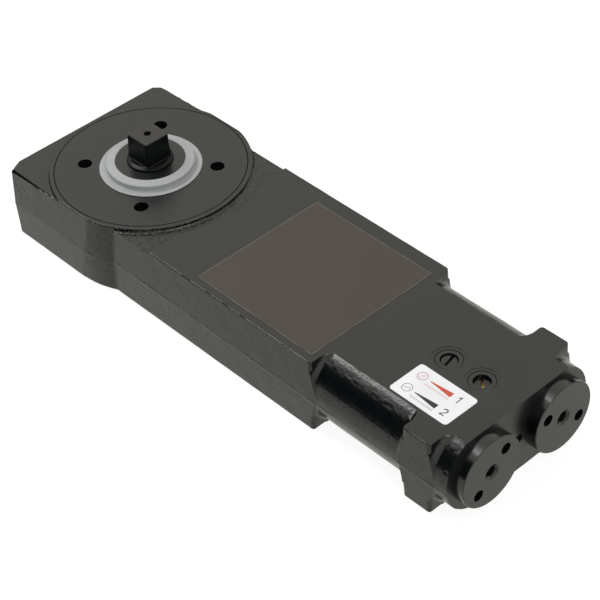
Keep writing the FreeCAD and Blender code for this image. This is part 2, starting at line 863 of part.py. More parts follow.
def closing_spring(side):
    """Square-wire coil spring between the piston's shoulder and the end cap."""
    length = cap_plug_end_x - piston_end_x - spring_wire
    path = Part.makeHelix(length / spring_turns, length, spring_mean_radius)
    half = spring_wire / 2
    corners = [Vector(spring_mean_radius + across * half, 0, along * half)
               for across, along in ((-1, -1), (1, -1), (1, 1), (-1, 1))]
    wire = Part.makePolygon(corners + corners[:1])
    spring = Part.Wire(path).makePipeShell([wire], True, True)
    spring.rotate(Vector(), Y_AXIS, 90)
    spring.translate(bore_centre(side, piston_end_x + half))
    return spring


# End caps

def end_cap(name):
    """Flanged screw plug with a tapped centre hole and two holes for a pin spanner."""
    side = SIDES[name]
    flange = cylinder(cap_flange_radius, bore_centre(side, end_face_x), cap_flange_thickness,
                      X_AXIS)
    flange = chamfered(flange, cap_flange_chamfer, at_station(cap_face_x))
    plug = cylinder(cap_plug_radius, bore_centre(side, cap_plug_end_x),
                    cap_plug_length + overlap, X_AXIS)
    plug = chamfered(plug, cap_plug_chamfer, at_station(cap_plug_end_x))
    spigot = cylinder(spigot_radius, bore_centre(side, cap_plug_end_x - spigot_length),
                      spigot_length + overlap, X_AXIS)
    spigot = chamfered(spigot, spigot_chamfer, at_station(cap_plug_end_x - spigot_length))
    mouth = cap_hole_mouth_radius - cap_hole_radius
    cuts = [
        cap_ring_space(side, cap_plug_radius + overrun),
        cylinder(cap_hole_radius, bore_centre(side, cap_face_x - cap_hole_depth),
                 cap_hole_depth + overrun, X_AXIS),
        cone(cap_hole_radius, cap_hole_mouth_radius, bore_centre(side, cap_face_x - mouth), mouth,
             X_AXIS),
    ]
    turn = math.radians(cap_turns[name])
    for reach in (-cap_pin_circle_radius, cap_pin_circle_radius):
        place = bore_centre(side, cap_face_x - cap_pin_hole_depth)
        place += Vector(0, reach * math.cos(turn), reach * math.sin(turn))
        cuts.append(cylinder(cap_pin_hole_radius, place, cap_pin_hole_depth + overrun, X_AXIS))
    return flange.fuse([plug, spigot]).cut(cuts).removeSplitter()


def cap_ring_space(side, outer):
    start = bore_centre(side, end_face_x - cap_ring_setback - cap_ring_width)
    return tube(outer, cap_plug_radius - cap_ring_depth, start, cap_ring_width, X_AXIS)


def cap_seal_ring(side):
    return cap_ring_space(side, cap_plug_radius)


# Speed valves

def valve_bush(name):
    """Round insert that holds a valve, with a wide mouth for the screwdriver."""
    x = valve_x[name]
    inner = valve_head_radius + valve_clearance
    bush = cylinder(bush_radius, Vector(x, 0, bush_floor_z), bush_length)
    bush = chamfered(bush, bush_edge, at_height(bush_top_z))
    head_floor = bush_top_z - valve_head_depth[name] - valve_head_length
    return bush.cut([
        cylinder(bush_mouth_radius, Vector(x, 0, bush_top_z - bush_mouth_depth), bush_mouth_depth),
        cylinder(inner, Vector(x, 0, head_floor), bush_length),
        cylinder(valve_stem_radius + valve_clearance, Vector(x, 0, bush_floor_z), bush_length),
    ])


def valve_ring_z(name):
    return bush_top_z - valve_head_depth[name] - valve_head_length + valve_ring_width


def speed_valve(name):
    """Slotted regulating screw whose tip closes on the oil gallery."""
    x = valve_x[name]
    top = bush_top_z - valve_head_depth[name]
    head_floor = top - valve_head_length
    tip_z = gallery_z + valve_tip_gap
    head = cylinder(valve_head_radius, Vector(x, 0, head_floor), valve_head_length)
    head = chamfered(head, valve_head_chamfer, at_height(top))
    stem = cylinder(valve_stem_radius, Vector(x, 0, tip_z + valve_tip_length),
                    head_floor - tip_z - valve_tip_length)
    tip = cone(valve_tip_radius, valve_stem_radius, Vector(x, 0, tip_z), valve_tip_length)
    reach = valve_head_radius + overrun
    slot = block(-reach, reach, -valve_slot_width / 2, valve_slot_width / 2,
                 top - valve_slot_depth, top + overrun)
    slot.rotate(Vector(), Z_AXIS, valve_slot_turn[name])
    slot.translate(Vector(x, 0, 0))
    groove = tube(reach, valve_head_radius - valve_ring_depth, Vector(x, 0, valve_ring_z(name)),
                  valve_ring_width)
    return head.fuse([stem, tip]).cut([slot, groove])


def valve_ring(name):
    return tube(valve_head_radius + valve_clearance / 2, valve_head_radius - valve_ring_depth,
                Vector(valve_x[name], 0, valve_ring_z(name)), valve_ring_width)


def gallery_plug():
    """Grub screw that closes the drilled oil gallery in the end face."""
    end = end_face_x - gallery_plug_sunk
    plug = cylinder(gallery_plug_radius, Vector(end - gallery_plug_length, 0, gallery_z),
                    gallery_plug_length, X_AXIS)
    corners = [
        Vector(end, gallery_plug_key_radius * math.cos(math.radians(60 * index)),
               gallery_z + gallery_plug_key_radius * math.sin(math.radians(60 * index)))
        for index in range(6)
    ]
    key = Part.Face(Part.makePolygon(corners + corners[:1]))
    return plug.cut(key.extrude(Vector(-gallery_plug_key_depth, 0, 0)))


# Labels

def label(x, length, y, width, corner):
    plate = block(x, x + length, y, y + width, body_height, body_height + label_thickness)
    across = [edge for edge in plate.Edges
              if abs(edge.Vertexes[0].Z - edge.Vertexes[-1].Z) > label_thickness / 2]
    return plate.makeFillet(corner, across)


def name_label():
    return label(name_label_x, name_label_length, name_label_y, name_label_width,
                 name_label_round)


def adjusting_label():
    return label(notice_label_x, notice_label_length, notice_label_y, notice_label_width,
                 notice_label_round)


def closer_pieces():
    """Every node's name and shape."""
    pieces = {
        "body_casting": body_casting(),
        "spindle_cover": spindle_cover(),
        "cover_seal_ring": cover_seal_ring(),
        "hub_ring": hub_ring(),
        "shaft_seal": shaft_seal(),
        "upper_bearing_cup": upper_bearing_cup(),
        "lower_bearing_cup": lower_bearing_cup(),
        "upper_needles": upper_needles(),
        "lower_needles": lower_needles(),
        "upper_washer": upper_washer(),
        "lower_washer": lower_washer(),
        "pinion_spindle": pinion_spindle(),
        "gallery_plug": gallery_plug(),
        "name_label": name_label(),
        "adjusting_label": adjusting_label(),
    }
    for name, side in SIDES.items():
        pieces["rack_piston_" + name] = rack_piston(side)
        pieces["piston_ring_" + name] = piston_ring(side)
        pieces["check_ball_" + name] = check_ball(side)
        pieces["check_pin_" + name] = check_pin(side)
        pieces["closing_spring_" + name] = closing_spring(side)
        pieces["end_cap_" + name] = end_cap(name)
        pieces["cap_seal_ring_" + name] = cap_seal_ring(side)
    for name in valve_x:
        pieces[name + "_valve_bush"] = valve_bush(name)
        pieces[name + "_valve"] = speed_valve(name)
        pieces[name + "_valve_ring"] = valve_ring(name)
    return pieces


os.makedirs("parts", exist_ok=True)
for node, shape in closer_pieces().items():
    shape.exportStep("parts/" + node + ".step")
    print(node, len(shape.Solids), "solid(s)", round(shape.Volume, 1), "mm3",
          "" if shape.isValid() else "NOT VALID")
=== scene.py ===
"""Looks of the transom door closer: camera, studio, painted finishes and the small printed marks."""

import math

import bmesh
import bpy
from mathutils import Matrix, Vector, noise


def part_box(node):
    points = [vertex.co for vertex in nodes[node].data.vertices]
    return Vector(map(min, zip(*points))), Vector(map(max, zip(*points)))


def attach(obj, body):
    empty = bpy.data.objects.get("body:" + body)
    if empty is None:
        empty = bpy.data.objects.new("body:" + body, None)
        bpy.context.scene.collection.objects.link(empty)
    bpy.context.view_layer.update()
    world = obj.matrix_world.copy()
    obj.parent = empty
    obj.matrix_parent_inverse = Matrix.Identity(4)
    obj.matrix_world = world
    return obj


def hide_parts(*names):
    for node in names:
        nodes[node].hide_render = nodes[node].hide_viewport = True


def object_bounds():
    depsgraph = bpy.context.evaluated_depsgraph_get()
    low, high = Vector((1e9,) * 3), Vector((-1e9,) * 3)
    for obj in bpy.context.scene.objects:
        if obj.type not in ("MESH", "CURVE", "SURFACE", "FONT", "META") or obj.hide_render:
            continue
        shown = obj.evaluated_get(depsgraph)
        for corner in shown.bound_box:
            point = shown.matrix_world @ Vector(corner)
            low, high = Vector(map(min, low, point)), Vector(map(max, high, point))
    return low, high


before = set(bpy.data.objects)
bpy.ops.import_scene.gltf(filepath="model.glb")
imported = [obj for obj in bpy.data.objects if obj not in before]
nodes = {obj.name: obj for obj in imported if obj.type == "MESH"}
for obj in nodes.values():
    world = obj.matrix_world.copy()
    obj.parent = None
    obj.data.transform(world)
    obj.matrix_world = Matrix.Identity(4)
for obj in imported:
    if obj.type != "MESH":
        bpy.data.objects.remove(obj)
cad_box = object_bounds()

MM = 0.001
X_AXIS = Vector((1.0, 0.0, 0.0))
Y_AXIS = Vector((0.0, 1.0, 0.0))
Z_AXIS = Vector((0.0, 0.0, 1.0))

# Places read from the model
casting_low, casting_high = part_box("body_casting")
ring_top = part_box("hub_ring")[1].z
name_low, name_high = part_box("name_label")
notice_low, notice_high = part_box("adjusting_label")
cap_low, cap_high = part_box("end_cap_left")

# Camera: the photograph's own view, worked out from the body's edges and circles
CAMERA_AZIMUTH = math.radians(48.832)
CAMERA_ELEVATION = math.radians(40.879)
CAMERA_ROLL = math.radians(-3.261)
CAMERA_DISTANCE = 0.8248
CAMERA_TARGET = Vector((0.09164, 0.0, 0.02036))
CAMERA_LENS = 120.36
CAMERA_SENSOR = 36.0
CAMERA_SHIFT = (0.00337, -0.01738)


def set_camera():
    """A camera that looks at the closer from above its near side and its end caps."""
    sin_a, cos_a = math.sin(CAMERA_AZIMUTH), math.cos(CAMERA_AZIMUTH)
    sin_e, cos_e = math.sin(CAMERA_ELEVATION), math.cos(CAMERA_ELEVATION)
    back = Vector((sin_a * cos_e, -cos_a * cos_e, sin_e))
    right = (-back).cross(Z_AXIS).normalized()
    up = right.cross(-back)
    turn = Matrix.Rotation(CAMERA_ROLL, 3, back)
    right, up = turn @ right, turn @ up
    data = bpy.data.cameras.new("camera")
    data.lens = CAMERA_LENS
    data.sensor_width = CAMERA_SENSOR
    data.shift_x, data.shift_y = CAMERA_SHIFT
    data.dof.use_dof = False
    data.clip_start = 0.01
    data.clip_end = 50.0
    camera = bpy.data.objects.new("camera", data)
    bpy.context.scene.collection.objects.link(camera)
    turned = Matrix((right, up, back)).transposed().to_4x4()
    camera.matrix_world = Matrix.Translation(CAMERA_TARGET + back * CAMERA_DISTANCE) @ turned
    bpy.context.scene.camera = camera


# Node trees

def add(tree, kind, links=None, **settings):
    """A node with its settings; links gives each input a value or another node's output."""
    made = tree.nodes.new(kind)
    for name, value in settings.items():
        setattr(made, name, value)
    for name, value in (links or {}).items():
        socket = made.inputs[name]
        if isinstance(value, bpy.types.NodeSocket):
            tree.links.new(value, socket)
        else:
            socket.default_value = value
    return made


def math_node(tree, operation, first, second=0.0, third=0.0):
    return add(tree, "ShaderNodeMath", {0: first, 1: second, 2: third}, operation=operation).outputs[0]


def mix_colour(tree, factor, first, second):
    mixed = add(tree, "ShaderNodeMix", {"Factor": factor}, data_type="RGBA")
    for index, value in ((6, first), (7, second)):
        if isinstance(value, bpy.types.NodeSocket):
            tree.links.new(value, mixed.inputs[index])
        else:
            mixed.inputs[index].default_value = value
    return mixed.outputs[2]


def noise_at(tree, place, scale, detail=2.0, roughness=0.5):
    return add(tree, "ShaderNodeTexNoise", {"Vector": place, "Scale": scale, "Detail": detail,
                                            "Roughness": roughness}).outputs["Fac"]


def remap(tree, value, low, high, out_low=0.0, out_high=1.0):
    return add(tree, "ShaderNodeMapRange", {"Value": value, "From Min": low, "From Max": high,
                                            "To Min": out_low, "To Max": out_high}).outputs["Result"]


def new_group(name, inputs, outputs):
    """A shader node group with float or vector inputs, and its input and output nodes."""
    tree = bpy.data.node_groups.new(name, "ShaderNodeTree")
    for title, kind, value in inputs:
        socket = tree.interface.new_socket(title, in_out="INPUT", socket_type="NodeSocket" + kind)
        if value is not None:
            socket.default_value = value
    for title, kind in outputs:
        tree.interface.new_socket(title, in_out="OUTPUT", socket_type="NodeSocket" + kind)
    return tree, tree.nodes.new("NodeGroupInput").outputs, tree.nodes.new("NodeGroupOutput").inputs


# Patterns of the paint and the cast skin, as cells or waves per millimetre
GRAIN_SCALE = 0.85
SWELL_SCALE = 0.4
PIT_SCALE = 0.16
PIT_PATCH_SCALE = 0.045
TONE_SCALE = 0.05
PEEL_SCALE = 1.3
DUST_SCALE = 0.22
DUST_PATCH_SCALE = 0.11
LATHE_WAVER_SCALE = 0.2


def sand_grain_group():
    """Sand-cast skin: packed grains, swells and a few pits, in millimetres, and a mask of its crevices and
    pits, where shade is painted.
    """
    tree, given, out = new_group("sand_grain", [
        ("Place", "Vector", None), ("Grain", "Float", 0.05), ("Swell", "Float", 0.06),
        ("Pits", "Float", 0.25)], [("Height", "Float"), ("Crevice", "Float")])
    fine = noise_at(tree, given["Place"], GRAIN_SCALE, 2.0, 0.55)
    coarse = noise_at(tree, given["Place"], SWELL_SCALE, 1.0, 0.5)
    spots = add(tree, "ShaderNodeTexVoronoi", {"Vector": given["Place"], "Scale": PIT_SCALE,
                                               "Randomness": 1.0})
    patch = remap(tree, noise_at(tree, given["Place"], PIT_PATCH_SCALE), 0.52, 0.66)
    pit = math_node(tree, "MULTIPLY", remap(tree, spots.outputs["Distance"], 0.17, 0.08), patch)
    total = math_node(tree, "MULTIPLY", fine, given["Grain"])
    total = math_node(tree, "MULTIPLY_ADD", coarse, given["Swell"], total)
    deep = math_node(tree, "MULTIPLY", pit, given["Pits"])
    tree.links.new(math_node(tree, "SUBTRACT", total, deep), out["Height"])
    # Crevices and pits: the mask for the painted shade in them
    crevice = remap(tree, fine, 0.50, 0.36)
    tree.links.new(math_node(tree, "MAXIMUM", pit, crevice), out["Crevice"])
    return tree


def paint_film_group():
    """Thin satin paint: slow changes of tone and gloss, orange peel, and a little dust."""
    tree, given, out = new_group("paint_film", [
        ("Place", "Vector", None), ("Gloss", "Float", 0.36), ("Spread", "Float", 0.05)],
        [("Tone", "Float"), ("Roughness", "Float"), ("Peel", "Float"), ("Dust", "Float")])
    slow = noise_at(tree, given["Place"], TONE_SCALE, 3.0, 0.55)
    peel = noise_at(tree, given["Place"], PEEL_SCALE, 2.0, 0.5)
    speck = add(tree, "ShaderNodeTexVoronoi", {"Vector": given["Place"], "Scale": DUST_SCALE})
    dust = remap(tree, speck.outputs["Distance"], 0.045, 0.02)
    chosen = math_node(tree, "GREATER_THAN", noise_at(tree, given["Place"], DUST_PATCH_SCALE), 0.56)
    swing = math_node(tree, "MULTIPLY_ADD", slow, given["Spread"], given["Gloss"])
    tree.links.new(slow, out["Tone"])
    tree.links.new(swing, out["Roughness"])
    tree.links.new(peel, out["Peel"])
    tree.links.new(math_node(tree, "MULTIPLY", dust, chosen), out["Dust"])
    return tree


def turning_marks_group():
    """Fine rings left by a lathe, about the centre from which the place is measured."""
    tree, given, out = new_group("turning_marks", [
        ("Place", "Vector", None), ("Pitch", "Float", 0.25), ("Waver", "Float", 0.3)],
        [("Height", "Float")])
    radius = add(tree, "ShaderNodeVectorMath", {0: given["Place"]}, operation="LENGTH").outputs["Value"]
    swing = noise_at(tree, given["Place"], LATHE_WAVER_SCALE)
    waver = math_node(tree, "MULTIPLY", swing, given["Waver"])
    turns = math_node(tree, "DIVIDE", math_node(tree, "ADD", radius, waver), given["Pitch"])
    tree.links.new(math_node(tree, "SINE", math_node(tree, "MULTIPLY", turns, math.tau)), out["Height"])
    return tree


def place_in_mm(tree, centre=(0.0, 0.0, 0.0), keep=(1.0, 1.0, 1.0)):
    """Object coordinates in millimetres from a centre; keep flattens the axes that a pattern ignores."""
    place = add(tree, "ShaderNodeTexCoord").outputs["Object"]
    away = add(tree, "ShaderNodeVectorMath", {0: place, 1: centre}, operation="SUBTRACT").outputs[0]
    scale = tuple(value / MM for value in keep)
    return add(tree, "ShaderNodeVectorMath", {0: away, 1: scale}, operation="MULTIPLY").outputs[0]


GROUPS = {}


def group(tree, maker, **links):
    """Place a shared group in a material's tree; its maker builds it the first time."""
    if maker not in GROUPS:
        GROUPS[maker] = maker()
    return add(tree, "ShaderNodeGroup", links, node_tree=GROUPS[maker]).outputs


def new_material(name):
    material = bpy.data.materials.new(name)
    material.use_nodes = True
    tree = material.node_tree
    return material, tree, tree.nodes["Principled BSDF"]


def bump(tree, shader, height):
    """Raise the shading by a height in millimetres."""
    made = add(tree, "ShaderNodeBump", {"Height": height, "Strength": 1.0, "Distance": MM})
    tree.links.new(made.outputs[0], shader.inputs["Normal"])


# Finishes

PAINT_DARK = (0.0022, 0.0034, 0.0042, 1.0)
PAINT_LIGHT = (0.0040, 0.0054, 0.0062, 1.0)
DUST = (0.20, 0.19, 0.18, 1.0)
STEEL_BLACK = (0.0030, 0.0042, 0.0052, 1.0)
# The square's lighter end: worn steel and a painted sheen
WORN_AND_SHEEN_END = (0.057, 0.055, 0.052, 1.0)
BRASS = (0.55, 0.36, 0.11, 1.0)
LABEL_EDGE = 0.30
GLOSS_SPREAD = 0.05
PLAIN_SPREAD = 0.06
PAINT_PEEL = 0.006
SMOOTH_PEEL = 0.004
STEEL_PEEL = 0.003
LATHE_PITCH = 0.35
LATHE_WAVER = 0.25
LATHE_DEPTH = 0.0015
STEEL_SHEEN = 0.13
WORN_DEPTH = 0.05


def painted(name, gloss, grain=0.0, swell=0.0, pits=0.0, sheen=0.5, crevice_shade=0.0):
    """Near-black satin paint over machined or sand-cast metal.

    Painted shade in the sand's crevices: there the paint counts partly as a near-black metal, which mirrors
    next to nothing.
    """
    material, tree, shader = new_material(name)
    place = place_in_mm(tree)
    film = group(tree, paint_film_group, Place=place, Gloss=gloss, Spread=GLOSS_SPREAD)
    tone = mix_colour(tree, remap(tree, film["Tone"], 0.35, 0.65), PAINT_DARK, PAINT_LIGHT)
    height = math_node(tree, "MULTIPLY", film["Peel"], PAINT_PEEL)
    shader.inputs["Specular IOR Level"].default_value = sheen
    if grain:
        sand = group(tree, sand_grain_group, Place=place, Grain=grain, Swell=swell, Pits=pits)
        height = math_node(tree, "ADD", height, sand["Height"])
        # Painted shade: near-black metal in the crevices mirrors next to nothing
        tree.links.new(math_node(tree, "MULTIPLY", sand["Crevice"], crevice_shade), shader.inputs["Metallic"])
    tree.links.new(mix_colour(tree, film["Dust"], tone, DUST), shader.inputs["Base Color"])
    tree.links.new(film["Roughness"], shader.inputs["Roughness"])
    bump(tree, shader, height)
    return material


def plain_finish(name, colour, roughness, metallic=0.0, specular=0.5):
    """A smooth single-tone finish with slight changes of tone and gloss."""
    material, tree, shader = new_material(name)
    place = place_in_mm(tree)
    film = group(tree, paint_film_group, Place=place, Gloss=roughness, Spread=PLAIN_SPREAD)
    dark = tuple(0.88 * value for value in colour[:3]) + (1.0,)
    tone = mix_colour(tree, remap(tree, film["Tone"], 0.3, 0.7), dark, tuple(colour[:3]) + (1.0,))
    tree.links.new(tone, shader.inputs["Base Color"])
    tree.links.new(film["Roughness"], shader.inputs["Roughness"])
    shader.inputs["Metallic"].default_value = metallic
    shader.inputs["Specular IOR Level"].default_value = specular
    bump(tree, shader, math_node(tree, "MULTIPLY", film["Peel"], SMOOTH_PEEL))
    return material


def spindle_finish(top_z):
    """Matt blackened steel; the square's end is a little worn and marked, and painted lighter: partly wear,
    partly a painted sheen of the light from above.
    """
    material, tree, shader = new_material("black_steel")
    place = place_in_mm(tree)
    film = group(tree, paint_film_group, Place=place, Gloss=0.26, Spread=GLOSS_SPREAD)
    height = add(tree, "ShaderNodeSeparateXYZ", {0: place}).outputs["Z"]
    # The lighter end is partly wear and partly a painted sheen, since the steel's low specular mirrors
    # little
    end = remap(tree, height, top_z / MM - 0.25, top_z / MM - 0.1)
    worn = noise_at(tree, place, 0.9, 4.0, 0.7)
    shade = math_node(tree, "MULTIPLY", end, remap(tree, worn, 0.2, 0.8, 0.7, 1.15))
    tone = mix_colour(tree, shade, STEEL_BLACK, WORN_AND_SHEEN_END)
    scratches = math_node(tree, "MULTIPLY", math_node(tree, "MULTIPLY", worn, end), WORN_DEPTH)
    tree.links.new(tone, shader.inputs["Base Color"])
    tree.links.new(film["Roughness"], shader.inputs["Roughness"])
    shader.inputs["Specular IOR Level"].default_value = STEEL_SHEEN
    bump(tree, shader, math_node(tree, "MULTIPLY_ADD", film["Peel"], STEEL_PEEL, scratches))
    return material


def valve_finish(name, top_z, glint):
    """A screw painted with the body; where it glints, brass shows at the bottom of its slot."""
    material, tree, shader = new_material(name)
    place = place_in_mm(tree)
    film = group(tree, paint_film_group, Place=place, Gloss=0.28, Spread=GLOSS_SPREAD)
    shader.inputs["Base Color"].default_value = PAINT_LIGHT
    if glint:
        height = add(tree, "ShaderNodeSeparateXYZ", {0: place}).outputs["Z"]
        deep = remap(tree, height, top_z / MM - 0.7, top_z / MM - 1.1)
        patch = remap(tree, noise_at(tree, place, 0.7, 3.0, 0.6), 0.46, 0.54)
        bare = math_node(tree, "MULTIPLY", math_node(tree, "MULTIPLY", deep, patch), glint)
        tree.links.new(mix_colour(tree, bare, PAINT_LIGHT, BRASS), shader.inputs["Base Color"])
        tree.links.new(bare, shader.inputs["Metallic"])
    tree.links.new(film["Roughness"], shader.inputs["Roughness"])
    bump(tree, shader, math_node(tree, "MULTIPLY", film["Peel"], PAINT_PEEL))
    return material


def label_finish(name, low, high, inner, edge, gloss):
    """A printed film with a thin line of another tone painted along its cut edge: on the dark film a painted
    highlight of the lit edge.
    """
    material, tree, shader = new_material(name)
    middle = (low + high) * 0.5
    half = (high - low) * 0.5 / MM
    place = place_in_mm(tree, tuple(middle))
    film = group(tree, paint_film_group, Place=place_in_mm(tree), Gloss=gloss, Spread=GLOSS_SPREAD)
    axes = add(tree, "ShaderNodeSeparateXYZ", {0: place}).outputs
    from_x = math_node(tree, "SUBTRACT", half.x, math_node(tree, "ABSOLUTE", axes["X"]))
    from_y = math_node(tree, "SUBTRACT", half.y, math_node(tree, "ABSOLUTE", axes["Y"]))
    # The cut edge's line: on the dark film a painted highlight, broken up in patches
    rim = remap(tree, math_node(tree, "MINIMUM", from_x, from_y), LABEL_EDGE, 0.5 * LABEL_EDGE)
    rim_patches = remap(tree, noise_at(tree, place_in_mm(tree), 0.12, 3.0, 0.6), 0.35, 0.6, 0.35, 1.0)
    shade = tuple(0.9 * value for value in inner[:3]) + (1.0,)
    tone = mix_colour(tree, remap(tree, film["Tone"], 0.3, 0.7), shade, inner)
    tone = mix_colour(tree, math_node(tree, "MULTIPLY", rim, rim_patches), tone, edge)
    tree.links.new(mix_colour(tree, film["Dust"], tone, DUST), shader.inputs["Base Color"])
    tree.links.new(film["Roughness"], shader.inputs["Roughness"])
    bump(tree, shader, math_node(tree, "MULTIPLY", film["Peel"], SMOOTH_PEEL))
    return material


def turned_finish(name, gloss, centre, keep):
    """Blackened turned steel with faint lathe rings about one axis."""
    material, tree, shader = new_material(name)
    film = group(tree, paint_film_group, Place=place_in_mm(tree), Gloss=gloss, Spread=GLOSS_SPREAD)
    rings = group(tree, turning_marks_group, Place=place_in_mm(tree, centre, keep), Pitch=LATHE_PITCH,
                  Waver=LATHE_WAVER)
    tone = mix_colour(tree, remap(tree, film["Tone"], 0.35, 0.65), PAINT_DARK, PAINT_LIGHT)
    height = math_node(tree, "MULTIPLY", rings["Height"], LATHE_DEPTH)
    height = math_node(tree, "MULTIPLY_ADD", film["Peel"], SMOOTH_PEEL, height)
    tree.links.new(tone, shader.inputs["Base Color"])
    tree.links.new(film["Roughness"], shader.inputs["Roughness"])
    bump(tree, shader, height)
    return material


# Threads and printed marks

CAP_THREAD_TURNS = 6.0
CAP_THREAD_PITCH = 1.0 * MM
CAP_THREAD_RADIUS = 2.5 * MM
CAP_THREAD_RIDGE = 0.42 * MM
ARM_THREAD_TURNS = 7.0
ARM_THREAD_PITCH = 0.7 * MM
ARM_THREAD_RADIUS = 1.65 * MM
ARM_THREAD_RIDGE = 0.3 * MM
ARM_THREAD_DEPTH = 5.6 * MM
CAP_MOUTH_DEPTH = 1.0 * MM

# Painted shade in the seams round the cover and its hub, as thin black rings: inner and outer radius, in
# millimetres
COVER_SEAM = (41.70, 42.14)
HUB_SEAM = (15.18, 15.42)
SEAM_LIFT = 0.01
SEAM_DEPTH = 0.06
SEAM_STEPS = 180
HUB_SEAM_DROP = 0.25 * MM

# The adjusting label's print, in millimetres from the label's middle
PRINT_LIFT = 0.012 * MM
DIAL_X = -9.6
DIAL_RADIUS = 2.1
DIAL_LINE = 0.22
SLOT_HALF_LENGTH = 1.35
SLOT_HALF_WIDTH = 0.32
SLOT_LINE = 0.14
ROW_Y = 4.2
WEDGE_REACH = 5.6
WEDGE_NARROW = 0.35
WEDGE_WIDE = 2.6
NUMBER_SIZE = 3.4
STROKE_SHARE = 0.13
TICK_COUNT = 15
TICK_STEP = 0.8 * MM
TICK_SIZE = (0.18 * MM, 0.9 * MM, 0.004 * MM)
TICK_DROP = 2.5


# The casting's skin; every size is in millimetres

SKIN_STEP = 2.5
PARTING_CLEARANCE = 1.2
LONGEST_EDGE = 1.3
SKIN_HALVINGS = 2
PARTING_Z = 16.8
FLASH_REACH = 0.45
FLASH_HEIGHT = 0.17
SKIN_ROUGHNESS = 0.02
SKIN_WAVES = 0.06
EDGE_WANDER = 0.22
HEAD_FACE_Z = 34.8
BOSS_RADIUS = 44.1
TOP_FACE_Z = 36.5
SOFT_ANGLE = math.radians(32)
HEAD_EDGE = 1.05
NOTCH_EDGE = 1.10
BROKEN_EDGE_WANDER = 0.2
BOSS_FOOT = 0.7
TOP_EDGE = 0.30
SHORTEST_EDGE = 0.30
GROOVE_ROUGHNESS = 0.16
GROOVE_MIDDLE = 1.2
GROOVE_FADE = 2.5
BROKEN_EDGE_DEPTH = 1.3
HEAD_END_X = 60.0
END_FACE_X = 212.5
LEVEL_NORMAL = 0.99
SLOPING_NORMAL = 0.3
STEEP_NORMAL = 0.95
NEAR = 0.1

# The casting's hollows, each a little wider than its bore
CHAMBER_RADIUS = 42.1
CHAMBER_FLOOR = 2.9
CYLINDER_Y = 20.0
CYLINDER_Z = 19.2
MOUTH_RADIUS = 14.7
GALLERY_Z = 18.0
GALLERY_RADIUS = 2.8
VALVE_SPAN = (168.0, 203.0)
VALVE_RADIUS = 7.3
VALVE_FLOOR = 17.0


def hidden_inside(place):
    """Whether a point of the casting, in millimetres, lies in one of its bores or recesses."""
    from_spindle = math.hypot(place.x, place.y)
    from_bore = math.hypot(abs(place.y) - CYLINDER_Y, place.z - CYLINDER_Z)
    from_gallery = math.hypot(place.y, place.z - GALLERY_Z)
    in_chamber = from_spindle < CHAMBER_RADIUS and place.z > CHAMBER_FLOOR
    in_bore = from_bore < MOUTH_RADIUS or from_gallery < GALLERY_RADIUS
    above_valves = VALVE_SPAN[0] < place.x < VALVE_SPAN[1] and abs(place.y) < VALVE_RADIUS
    in_valve = above_valves and place.z > VALVE_FLOOR
    return in_chamber or in_bore or in_valve


def skin_kind(face):
    """0 machined, 1 sand-cast skin, 2 the head's face, 3 the rough groove, 4 a broken edge."""
    place = face.calc_center_median() / MM
    normal = face.normal
    if hidden_inside(place):
        return 0
    if normal.z > LEVEL_NORMAL and place.z > TOP_FACE_Z - NEAR:
        return 0
    if normal.z < -LEVEL_NORMAL and place.z < NEAR:
        return 0
    if normal.x > LEVEL_NORMAL and place.x > END_FACE_X:
        return 0
    if normal.z > SLOPING_NORMAL and place.z > HEAD_FACE_Z - NEAR and place.x < HEAD_END_X:
        return 2 if place.x < 0.0 else 3
    under_head_face = HEAD_FACE_Z - BROKEN_EDGE_DEPTH < place.z < HEAD_FACE_Z
    if under_head_face and SLOPING_NORMAL < normal.z < STEEP_NORMAL and place.x < HEAD_END_X:
        return 4
    return 1


def cut_skin(skin, faces, axis, stations):
    """Cut the given faces along parallel planes, and return the faces that they became."""
    for station in stations:
        geometry = set(faces)
        for face in faces:
            geometry.update(face.verts)
            geometry.update(face.edges)
        cut = bmesh.ops.bisect_plane(skin, geom=list(geometry), plane_co=axis * station * MM,
                                     plane_no=axis, dist=1e-6)
        faces = [item for item in cut["geom"] if isinstance(item, bmesh.types.BMFace)]
    return faces


def spread(start, end, step):
    count = max(1, round((end - start) / step))
    return [start + (end - start) * index / count for index in range(1, count)]


def skin_grid(skin):
    """Cut the cast faces into a grid fine enough to carry the sand's texture."""
    faces = [face for face in skin.faces if skin_kind(face)]
    low, high = casting_low / MM, casting_high / MM
    rows = spread(low.z, high.z, SKIN_STEP)
    rows = [row for row in rows if abs(row - PARTING_Z) > PARTING_CLEARANCE]
    rows += [PARTING_Z - FLASH_REACH, PARTING_Z, PARTING_Z + FLASH_REACH]
    faces = cut_skin(skin, faces, Z_AXIS, rows)
    faces = cut_skin(skin, faces, Y_AXIS, spread(low.y, high.y, SKIN_STEP))
    cut_skin(skin, faces, X_AXIS, spread(low.x, high.x, SKIN_STEP))
    for halving in range(SKIN_HALVINGS):
        long_edges = [edge for edge in skin.edges if edge.calc_length() > LONGEST_EDGE * MM
                      and all(skin_kind(face) for face in edge.link_faces)]
        bmesh.ops.subdivide_edges(skin, edges=long_edges, cuts=1)
        bmesh.ops.triangulate(skin, faces=[face for face in skin.faces if len(face.verts) > 4])


def upright_edges(skin, level, convex):
    """The edges at one height, in millimetres, between a level face and an outer upright one."""
    found = []
    for edge in skin.edges:
        if len(edge.link_faces) != 2 or edge.is_convex != convex:
            continue
        if any(abs(vertex.co.z / MM - level) > 0.05 for vertex in edge.verts):
            continue
        upright, flat = sorted(edge.link_faces, key=lambda face: face.normal.z)
        inside = hidden_inside(upright.calc_center_median() / MM)
        if flat.normal.z > 0.99 and abs(upright.normal.z) < 0.2 and not inside:
            found.append(edge)
    return found


def bevel_edges(skin, edges, size, segments):
    bmesh.ops.bevel(skin, geom=edges, offset=size * MM, segments=segments, profile=0.5,
                    affect="EDGES", clamp_overlap=False)
    skin.normal_update()


